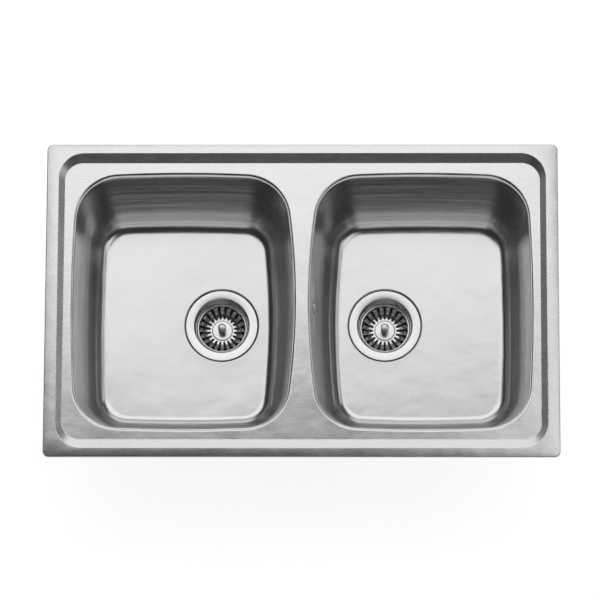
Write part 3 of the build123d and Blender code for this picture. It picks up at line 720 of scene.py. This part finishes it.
def round_tree():
    """A tree that copies its geometry round the vertical axis, welds and places the copies."""
    tree = bpy.data.node_groups.new("repeat_round_axis", "GeometryNodeTree")
    socket(tree, "Geometry", "NodeSocketGeometry", output=True)
    socket(tree, "Geometry", "NodeSocketGeometry")
    socket(tree, "Count", "NodeSocketInt", SLOTS)
    socket(tree, "Start", "NodeSocketFloat", 0.0)
    socket(tree, "Centre", "NodeSocketVector", (0.0, 0.0, 0.0))
    socket(tree, "Weld", "NodeSocketFloat", 0.00002)
    socket(tree, "Material", "NodeSocketMaterial")
    add, link = tree.nodes.new, tree.links.new
    given, result = add("NodeGroupInput"), add("NodeGroupOutput")
    line = add("GeometryNodeMeshLine")
    line.inputs["Offset"].default_value = (0, 0, 0)
    link(given.outputs["Count"], line.inputs["Count"])
    index, divide = add("GeometryNodeInputIndex"), add("ShaderNodeMath")
    divide.operation = "DIVIDE"
    link(index.outputs[0], divide.inputs[0])
    link(given.outputs["Count"], divide.inputs[1])
    full_turn = add("ShaderNodeMath")
    full_turn.operation = "MULTIPLY_ADD"
    full_turn.inputs[1].default_value = 2 * pi
    link(divide.outputs[0], full_turn.inputs[0])
    link(given.outputs["Start"], full_turn.inputs[2])
    heading = add("ShaderNodeCombineXYZ")
    link(full_turn.outputs[0], heading.inputs["Z"])
    copies = add("GeometryNodeInstanceOnPoints")
    link(line.outputs["Mesh"], copies.inputs["Points"])
    link(given.outputs["Geometry"], copies.inputs["Instance"])
    link(heading.outputs[0], copies.inputs["Rotation"])
    real = add("GeometryNodeRealizeInstances")
    weld, place, paint = (add(kind) for kind in (
        "GeometryNodeMergeByDistance", "GeometryNodeTransform", "GeometryNodeSetMaterial"))
    link(copies.outputs["Instances"], real.inputs["Geometry"])
    link(real.outputs["Geometry"], weld.inputs["Geometry"])
    link(given.outputs["Weld"], weld.inputs["Distance"])
    link(weld.outputs["Geometry"], place.inputs["Geometry"])
    link(given.outputs["Centre"], place.inputs["Translation"])
    link(place.outputs["Geometry"], paint.inputs["Geometry"])
    link(given.outputs["Material"], paint.inputs["Material"])
    link(paint.outputs["Geometry"], result.inputs["Geometry"])
    return tree


ROUND = round_tree()


def run_tree(piece, tree, edge_angle=EDGE_ANGLE, **values):
    """Runs a tree on the piece and keeps the result as its plain mesh."""
    modifier = piece.modifiers.new("tree", "NODES")
    modifier.node_group = tree
    for item in tree.interface.items_tree:
        if item.item_type == "SOCKET" and item.in_out == "INPUT" and item.name in values:
            modifier[item.identifier] = values[item.name]
    return flatten_modifiers(piece, edge_angle)


print("tree", ROUND.name, "with", len(ROUND.nodes), "nodes")

# %% [markdown]
# ## Finishes
#
# Stainless sheet is rolled and brushed: fine strokes in one direction scatter a lamp into
# a soft band. The strokes are noise stretched far along one axis. They go into the
# roughness and a faint bump, and never into the picture as painted light. Several
# finishes share them, so they are a node group that puts out masks only. The bowls get two
# finishes: wide drawing lines inside, and the duller mill finish of the sheet outside.

# %% Shared shader groups
def shader_group(name, inputs, outputs):
    """An empty shader group with its sockets, and its two end nodes."""
    group = bpy.data.node_groups.new(name, "ShaderNodeTree")
    for label, kind, value in inputs:
        socket(group, label, kind, value)
    for label, kind in outputs:
        socket(group, label, kind, output=True)
    return group, group.nodes.new("NodeGroupInput"), group.nodes.new("NodeGroupOutput")


def stretched_noise(tree, coordinates, stretch, detail, roughness):
    """Noise whose grain is stretched by a vector socket."""
    product = tree.nodes.new("ShaderNodeVectorMath")
    product.operation = "MULTIPLY"
    tree.links.new(coordinates, product.inputs[0])
    tree.links.new(stretch, product.inputs[1])
    noise = tree.nodes.new("ShaderNodeTexNoise")
    noise.inputs["Scale"].default_value = 1
    noise.inputs["Detail"].default_value = detail
    noise.inputs["Roughness"].default_value = roughness
    tree.links.new(product.outputs[0], noise.inputs["Vector"])
    return noise.outputs["Fac"]


def brushing_group():
    """Strokes and slow clouds, each as a value from 0 to 1."""
    group, given, result = shader_group(
        "brushing",
        [("Strokes", "NodeSocketVector", (6.0, 900.0, 900.0)), ("Clouds", "NodeSocketFloat", 14.0)],
        [("Stroke", "NodeSocketFloat"), ("Cloud", "NodeSocketFloat")])
    where = group.nodes.new("ShaderNodeTexCoord").outputs["Object"]
    stroke = stretched_noise(group, where, given.outputs["Strokes"], 5, 0.7)
    cloud = group.nodes.new("ShaderNodeTexNoise")
    cloud.inputs["Detail"].default_value = 3
    group.links.new(where, cloud.inputs["Vector"])
    group.links.new(given.outputs["Clouds"], cloud.inputs["Scale"])
    group.links.new(stroke, result.inputs["Stroke"])
    group.links.new(cloud.outputs["Fac"], result.inputs["Cloud"])
    return group


BRUSHING = brushing_group()


def ranged(tree, value, low, high):
    """A value from 0 to 1 made to run from low to high."""
    span = tree.nodes.new("ShaderNodeMapRange")
    span.inputs["To Min"].default_value = low
    span.inputs["To Max"].default_value = high
    tree.links.new(value, span.inputs["Value"])
    return span.outputs["Result"]


def bumped(tree, height, distance, before=None):
    """A normal from a height, on top of another normal if there is one."""
    bump = tree.nodes.new("ShaderNodeBump")
    bump.inputs["Distance"].default_value = distance
    bump.inputs["Strength"].default_value = 1
    tree.links.new(height, bump.inputs["Height"])
    if before is not None:
        tree.links.new(before, bump.inputs["Normal"])
    return bump.outputs["Normal"]


def new_material(name, metallic=0.0, roughness=None):
    """A material with a Principled shader, whose constants are set on its own sockets."""
    material = bpy.data.materials.new(name)
    material.use_nodes = True
    shader = material.node_tree.nodes["Principled BSDF"]
    shader.inputs["Metallic"].default_value = metallic
    if roughness is not None:
        shader.inputs["Roughness"].default_value = roughness
    return material, material.node_tree, shader


def steel(name, tone, rough, strokes, stroke_bump, cloud_bump=0.0, rough_spread=0.06,
          drawn=None):
    """Brushed or polished stainless steel; strokes is the grain's stretch per metre.

    drawn adds the wider lines that a drawing die leaves: their stretch and their depth.
    """
    material, tree, shader = new_material(name, metallic=1.0)
    grain = tree.nodes.new("ShaderNodeGroup")
    grain.node_tree = BRUSHING
    grain.inputs["Strokes"].default_value = strokes
    stroke, cloud = grain.outputs["Stroke"], grain.outputs["Cloud"]
    shade = tree.nodes.new("ShaderNodeMix")
    shade.data_type = "RGBA"
    shade.inputs[6].default_value = tuple(c * 0.96 for c in tone) + (1,)
    shade.inputs[7].default_value = tone + (1,)
    tree.links.new(stroke, shade.inputs[0])
    tree.links.new(shade.outputs[2], shader.inputs["Base Color"])
    tree.links.new(ranged(tree, stroke, rough - rough_spread, rough + rough_spread),
                   shader.inputs["Roughness"])
    normal = bumped(tree, stroke, stroke_bump)
    if cloud_bump:
        normal = bumped(tree, cloud, cloud_bump, before=normal)
    if drawn:
        stretch, depth = drawn
        lines = tree.nodes.new("ShaderNodeGroup")
        lines.node_tree = BRUSHING
        lines.inputs["Strokes"].default_value = stretch
        normal = bumped(tree, lines.outputs["Stroke"], depth, before=normal)
    tree.links.new(normal, shader.inputs["Normal"])
    return material


# %% Steel finishes
STEEL_TONE = (0.78, 0.78, 0.775)
deck_steel = steel("deck_steel", STEEL_TONE, 0.27, (5, 700, 5), 0.0000035, 0.0010)
bowl_steel = steel("bowl_steel", (0.735, 0.735, 0.73), 0.22, (3, 3, 260), 0.000028, 0.0006,
                   drawn=((0.9, 0.9, 34), 0.0014))
waste_steel = steel("waste_steel", STEEL_TONE, 0.2, (60, 60, 900), 0.000004)
knob_steel = steel("knob_steel", STEEL_TONE, 0.34, (300, 300, 300), 0.000002)
polished_steel = steel("polished_steel", (0.82, 0.82, 0.815), 0.07, (200, 200, 900), 0.000002,
                       rough_spread=0.02)
deck.data.materials.append(deck_steel)
mill_steel = steel("mill_steel", (0.58, 0.58, 0.575), 0.42, (4, 4, 200), 0.000030, 0.0006)
for bowl in (left_bowl, right_bowl):
    bowl.data.materials[0], bowl.data.materials[1] = bowl_steel, mill_steel
    print(bowl.name, "faces at the back", sum(f.material_index == 1 for f in bowl.data.polygons))
for side in ("left", "right"):
    flange = bpy.data.objects[f"{side}_waste_flange"]
    flange.data.materials.clear()
    flange.data.materials.append(waste_steel)
print("steel finishes", deck_steel.name, bowl_steel.name, waste_steel.name, polished_steel.name)

# %% Build the strainers, their rims and knobs
RIM_PROFILE = [(39.4, -19.0), (39.4, -18.8), (38.7, -18.1), (37.8, -18.1), (37.1, -18.4),
               (37.1, -19.3), (37.5, -19.7), (38.8, -19.7)]
KNOB_PROFILE = [(0, 25), (1.4, 24.96), (2.8, 24.85), (4.1, 24.66), (5.2, 24.42), (5.9, 24.18),
                (6.25, 23.9), (6.4, 23.5), (6.4, 12), (6.4, 0.4), (6.1, 0), (3.2, 0), (3.2, 10),
                (0, 10)]
DOME_Z = FLANGE_Z - 34.9 * MM  # the strainers' middle disc, which the knobs stand on
for side, sign, start in (("left", -1, SECTOR / 2), ("right", 1, 0.0)):
    body, x = f"{side}_basket", sign * DRAIN_X
    strainer = bpy.data.objects.new(f"{side}_strainer", sector.data.copy())
    bpy.context.scene.collection.objects.link(strainer)
    run_tree(strainer, ROUND, Count=SLOTS, Start=start + SECTOR / 2,
             Centre=(x, BOWL_Y, FLANGE_Z), Material=waste_steel)
    thicken(strainer)
    stand_for(strainer, body, "brushed_stainless", f"{side}_basket")
    rim = turned(f"{side}_strainer_rim", [(r * MM, FLANGE_Z + z * MM) for r, z in RIM_PROFILE], x,
                 closed=True, edge_angle=70)
    stand_for(rim, body, "brushed_stainless")
    knob = turned(f"{side}_knob", [(r * MM, DOME_Z + z * MM) for r, z in reversed(KNOB_PROFILE)], x,
                  sides=64)
    stand_for(knob, body, "polished_stainless", f"{side}_basket_knob")
    rim.data.materials.append(polished_steel)
    knob.data.materials.append(knob_steel)
    print(strainer.name, len(strainer.data.polygons), "faces", len(strainer.data.materials))
bpy.data.objects.remove(sector)

# %% [markdown]
# ## Finishes of the hidden pieces
#
# Below the worktop there are white moulded plastic, black rubber, foam, bitumen pads, zinc
# plate and brass. Their shapes in the CAD model are right already, so they keep it and
# only get a finish. Each one is colour, grain and roughness at the scale of the real stuff.

# %% Plain finishes
GRAIN_SPREAD = 0.08


def grained(name, dark, light, scale, rough, bump, metallic=0.0):
    """A finish that varies between two tones in fine noise, with a bump of the same grain."""
    material, tree, shader = new_material(name, metallic)
    noise = tree.nodes.new("ShaderNodeTexNoise")
    noise.inputs["Scale"].default_value = scale
    noise.inputs["Detail"].default_value = 6
    tree.links.new(tree.nodes.new("ShaderNodeTexCoord").outputs["Object"], noise.inputs["Vector"])
    tone = tree.nodes.new("ShaderNodeMix")
    tone.data_type = "RGBA"
    tone.inputs[6].default_value, tone.inputs[7].default_value = dark + (1,), light + (1,)
    tree.links.new(noise.outputs["Fac"], tone.inputs[0])
    tree.links.new(tone.outputs[2], shader.inputs["Base Color"])
    roughness = ranged(tree, noise.outputs["Fac"], rough - GRAIN_SPREAD, rough + GRAIN_SPREAD)
    tree.links.new(roughness, shader.inputs["Roughness"])
    tree.links.new(bumped(tree, noise.outputs["Fac"], bump), shader.inputs["Normal"])
    return material


white_plastic = grained("white_plastic", (0.74, 0.74, 0.71), (0.82, 0.82, 0.79), 700, 0.42,
                        0.00002)
black_rubber = grained("black_rubber", (0.012, 0.012, 0.012), (0.03, 0.03, 0.03), 900, 0.62,
                       0.00004)
foam = grained("seal_foam", (0.02, 0.02, 0.02), (0.07, 0.07, 0.07), 1400, 0.85, 0.00012)
bitumen = grained("bitumen", (0.025, 0.025, 0.027), (0.07, 0.07, 0.072), 420, 0.8, 0.00015)
zinc_plate = grained("zinc_plate", (0.42, 0.43, 0.43), (0.62, 0.62, 0.60), 260, 0.38, 0.00001,
                     metallic=1.0)
brass = grained("brass", (0.55, 0.38, 0.14), (0.72, 0.52, 0.22), 300, 0.3, 0.00001, metallic=1.0)
SLOT_FINISH = {"brushed_stainless": waste_steel, "polished_stainless": polished_steel,
               "waste_plastic": white_plastic, "gasket_rubber": black_rubber, "seal_foam": foam,
               "sound_pad_slot": bitumen, "zinc_plated_steel": zinc_plate, "brass_slot": brass}

slot_of = {row["node"]: row["material_slot"] for row in frame["record"]["subparts"]}
kept = [name for name, node in nodes.items() if not node.hide_render]
for name in kept:
    nodes[name].data.materials.clear()
    nodes[name].data.materials.append(SLOT_FINISH[slot_of[name]])
print("CAD nodes kept", len(kept))

# %% [markdown]
# ## Threads
#
# The waste outlets and the clamp screws are threaded. A thread is a ridge that follows a
# helix, so Geometry Nodes sweep a small three-sided profile along a spiral, whose turns
# and height are inputs. The CAD model's plain rods stay below them.

# %% Geometry Nodes that wind a thread
def thread_tree():
    """A tree that sweeps a ridge along a helix and places it, ignoring the geometry it is given."""
    tree = bpy.data.node_groups.new("wind_thread", "GeometryNodeTree")
    socket(tree, "Geometry", "NodeSocketGeometry", output=True)
    socket(tree, "Geometry", "NodeSocketGeometry")
    socket(tree, "Turns", "NodeSocketFloat", 8.0)
    socket(tree, "Radius", "NodeSocketFloat", 0.003)
    socket(tree, "Length", "NodeSocketFloat", 0.02)
    socket(tree, "Ridge", "NodeSocketFloat", 0.0003)
    socket(tree, "Foot", "NodeSocketVector", (0.0, 0.0, 0.0))
    socket(tree, "Material", "NodeSocketMaterial")
    add, link = tree.nodes.new, tree.links.new
    given, result = add("NodeGroupInput"), add("NodeGroupOutput")
    helix, profile = add("GeometryNodeCurveSpiral"), add("GeometryNodeCurvePrimitiveCircle")
    helix.inputs["Resolution"].default_value = 24
    profile.inputs["Resolution"].default_value = 3
    for name, socket_name in (("Turns", "Rotations"), ("Radius", "Start Radius"),
                              ("Radius", "End Radius"), ("Length", "Height")):
        link(given.outputs[name], helix.inputs[socket_name])
    link(given.outputs["Ridge"], profile.inputs["Radius"])
    sweep, place, paint = (add(kind) for kind in (
        "GeometryNodeCurveToMesh", "GeometryNodeTransform", "GeometryNodeSetMaterial"))
    sweep.inputs["Fill Caps"].default_value = True
    link(helix.outputs["Curve"], sweep.inputs["Curve"])
    link(profile.outputs["Curve"], sweep.inputs["Profile Curve"])
    real = add("GeometryNodeRealizeInstances")
    link(sweep.outputs["Mesh"], real.inputs["Geometry"])
    link(real.outputs["Geometry"], place.inputs["Geometry"])
    link(given.outputs["Foot"], place.inputs["Translation"])
    link(place.outputs["Geometry"], paint.inputs["Geometry"])
    link(given.outputs["Material"], paint.inputs["Material"])
    link(paint.outputs["Geometry"], result.inputs["Geometry"])
    return tree


THREAD = thread_tree()
RIDGE_ANGLE = 50


def thread(name, body, slot, radius, foot, length, pitch, ridge):
    """A threaded stretch: radius is the rod's, foot its lowest point on the axis."""
    piece = bpy.data.objects.new(name, bpy.data.meshes.new(name))
    bpy.context.scene.collection.objects.link(piece)
    run_tree(piece, THREAD, RIDGE_ANGLE, Turns=length / pitch, Radius=radius, Length=length,
             Ridge=ridge, Foot=foot, Material=SLOT_FINISH[slot])
    return stand_for(piece, body, slot)


print("tree", THREAD.name, "with", len(THREAD.nodes), "nodes")

# %% Thread the outlets and the clamp screws
OUTLET_R, OUTLET_PITCH, OUTLET_RIDGE = 23.9 * MM, 2.4 * MM, 0.55 * MM
OUTLET_START, OUTLET_THREADED = 1.5 * MM, 20 * MM
SCREW_R, SCREW_PITCH, SCREW_RIDGE = 3.0 * MM, 1 * MM, 0.28 * MM
SCREW_START, SCREW_PLAIN = 7 * MM, 7.6 * MM  # above its foot, and all that has no thread
for side, sign in (("left", -1), ("right", 1)):
    outlet_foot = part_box(f"{side}_waste_body")[0].z
    thread(f"{side}_outlet_thread", "sink", "waste_plastic", OUTLET_R,
           (sign * DRAIN_X, BOWL_Y, outlet_foot + OUTLET_START), OUTLET_THREADED, OUTLET_PITCH,
           OUTLET_RIDGE)
for number in range(1, 9):
    low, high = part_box(f"clamp_screw_{number}")
    piece = thread(f"clamp_thread_{number}", f"clamp_screw_{number}", "zinc_plated_steel", SCREW_R,
                   ((low.x + high.x) / 2, (low.y + high.y) / 2, low.z + SCREW_START),
                   high.z - low.z - SCREW_PLAIN, SCREW_PITCH, SCREW_RIDGE)
print("faces in a clamp thread", len(piece.data.polygons))

# %% [markdown]
# ## Floor, lamps and background
#
# The sheet is nearly a mirror, so what it reflects matters more than how much light falls
# on it. A large soft lamp stands where the deck reflects the camera's view, above and
# behind the sink. Two at the right put the light bands into the walls, and two low ones,
# behind and in front, light the steps and the views from other sides. Rays that show the
# background, straight or in a mirror, find a dark ceiling, which gives the steep walls
# their dark tones, a room that grows white towards the horizon, and a floor that glows.
# The rays that light dull surfaces find an even white instead, and a floor without glow.

# %% Floor and world
def background_rays(tree):
    """1 for the rays that show the background: to the camera, and mirrored or refracted."""
    light_path = tree.nodes.new("ShaderNodeLightPath")
    seen = light_path.outputs["Is Camera Ray"]
    for kind in ("Is Glossy Ray", "Is Transmission Ray"):
        either = tree.nodes.new("ShaderNodeMath")
        either.operation = "MAXIMUM"
        tree.links.new(seen, either.inputs[0])
        tree.links.new(light_path.outputs[kind], either.inputs[1])
        seen = either.outputs[0]
    return seen


FLOOR_HALF = 6  # metres
FLOOR_GLOW = 0.64
floor_z = cad_box[0].z - 1 * MM
floor_mesh = bpy.data.meshes.new("studio_floor")
floor_mesh.from_pydata([(x * FLOOR_HALF, y * FLOOR_HALF, floor_z)
                        for x, y in ((-1, -1), (1, -1), (1, 1), (-1, 1))], [], [(0, 1, 2, 3)])
studio_floor = bpy.data.objects.new("studio_floor", floor_mesh)
bpy.context.scene.collection.objects.link(studio_floor)
floor_paint, tree, shader = new_material("floor_paint", roughness=0.9)
shader.inputs["Base Color"].default_value = (0.8, 0.8, 0.8, 1)
shader.inputs["Emission Color"].default_value = (1, 1, 1, 1)
glow = tree.nodes.new("ShaderNodeMath")
glow.operation = "MULTIPLY"
glow.inputs[1].default_value = FLOOR_GLOW
tree.links.new(background_rays(tree), glow.inputs[0])
tree.links.new(glow.outputs[0], shader.inputs["Emission Strength"])
floor_mesh.materials.append(floor_paint)

CEILING, FILL = 0.022, 0.40  # how bright the ceiling looks, and the light on dull surfaces
WHITE_BELOW, DARK_ABOVE = 0.10, 0.58  # how far up a ray one metre long leads
world = bpy.data.worlds.new("studio")
bpy.context.scene.world = world
world.use_nodes = True
tree = world.node_tree
room = tree.nodes["Background"]
room.inputs["Color"].default_value = (1, 1, 1, 1)
direction = tree.nodes.new("ShaderNodeTexCoord").outputs["Generated"]
split = tree.nodes.new("ShaderNodeSeparateXYZ")
tree.links.new(direction, split.inputs[0])
horizon = tree.nodes.new("ShaderNodeMapRange")
horizon.interpolation_type = "SMOOTHSTEP"
for name, value in (("From Min", WHITE_BELOW), ("From Max", DARK_ABOVE), ("To Min", 1.0),
                    ("To Max", CEILING)):
    horizon.inputs[name].default_value = value
tree.links.new(split.outputs["Z"], horizon.inputs["Value"])
strength = tree.nodes.new("ShaderNodeMix")
tree.links.new(background_rays(tree), strength.inputs[0])
strength.inputs[2].default_value = FILL
tree.links.new(horizon.outputs["Result"], strength.inputs[3])
tree.links.new(strength.outputs[0], room.inputs["Strength"])
bpy.context.scene.view_settings.view_transform = "Standard"
print("floor at", round(floor_z, 4))


# %% Lamps
def softbox(name, place, aim, size_x, size_y, radiance):
    """A rectangular lamp that faces aim; radiance is how bright it looks in a mirror."""
    data = bpy.data.lights.new(name, "AREA")
    data.shape, data.size, data.size_y = "RECTANGLE", size_x, size_y
    data.energy = radiance * pi * size_x * size_y
    lamp = bpy.data.objects.new(name, data)
    bpy.context.scene.collection.objects.link(lamp)
    lamp.location = place
    lamp.rotation_euler = (Vector(aim) - Vector(place)).to_track_quat("-Z", "Y").to_euler()
    lamp.visible_camera = False
    return lamp


softbox("overhead_softbox", (-0.10, 0.80, 1.9), (0, 0, 0), 1.75, 1.05, 1.19)
softbox("right_softbox", (0.72, 0.02, 1.9), (0.35, -0.2, 0), 0.66, 0.66, 1.05)
softbox("side_softbox", (1.30, 0.25, 1.66), (0, 0, 0), 1.0, 0.55, 0.75)
softbox("back_softbox", (0, 2.2, 1.40), (0, 0, 0), 2.2, 1.3, 0.74)
softbox("front_softbox", (0, -2.1, 1.50), (0, 0, 0), 1.5, 0.8, 0.60)

# %% [markdown]
# ## Finish
#
# The box of the CAD model is printed.

# %% Sizes and finish
print("cad", [round(v, 4) for v in (*cad_box[0], *cad_box[1])])
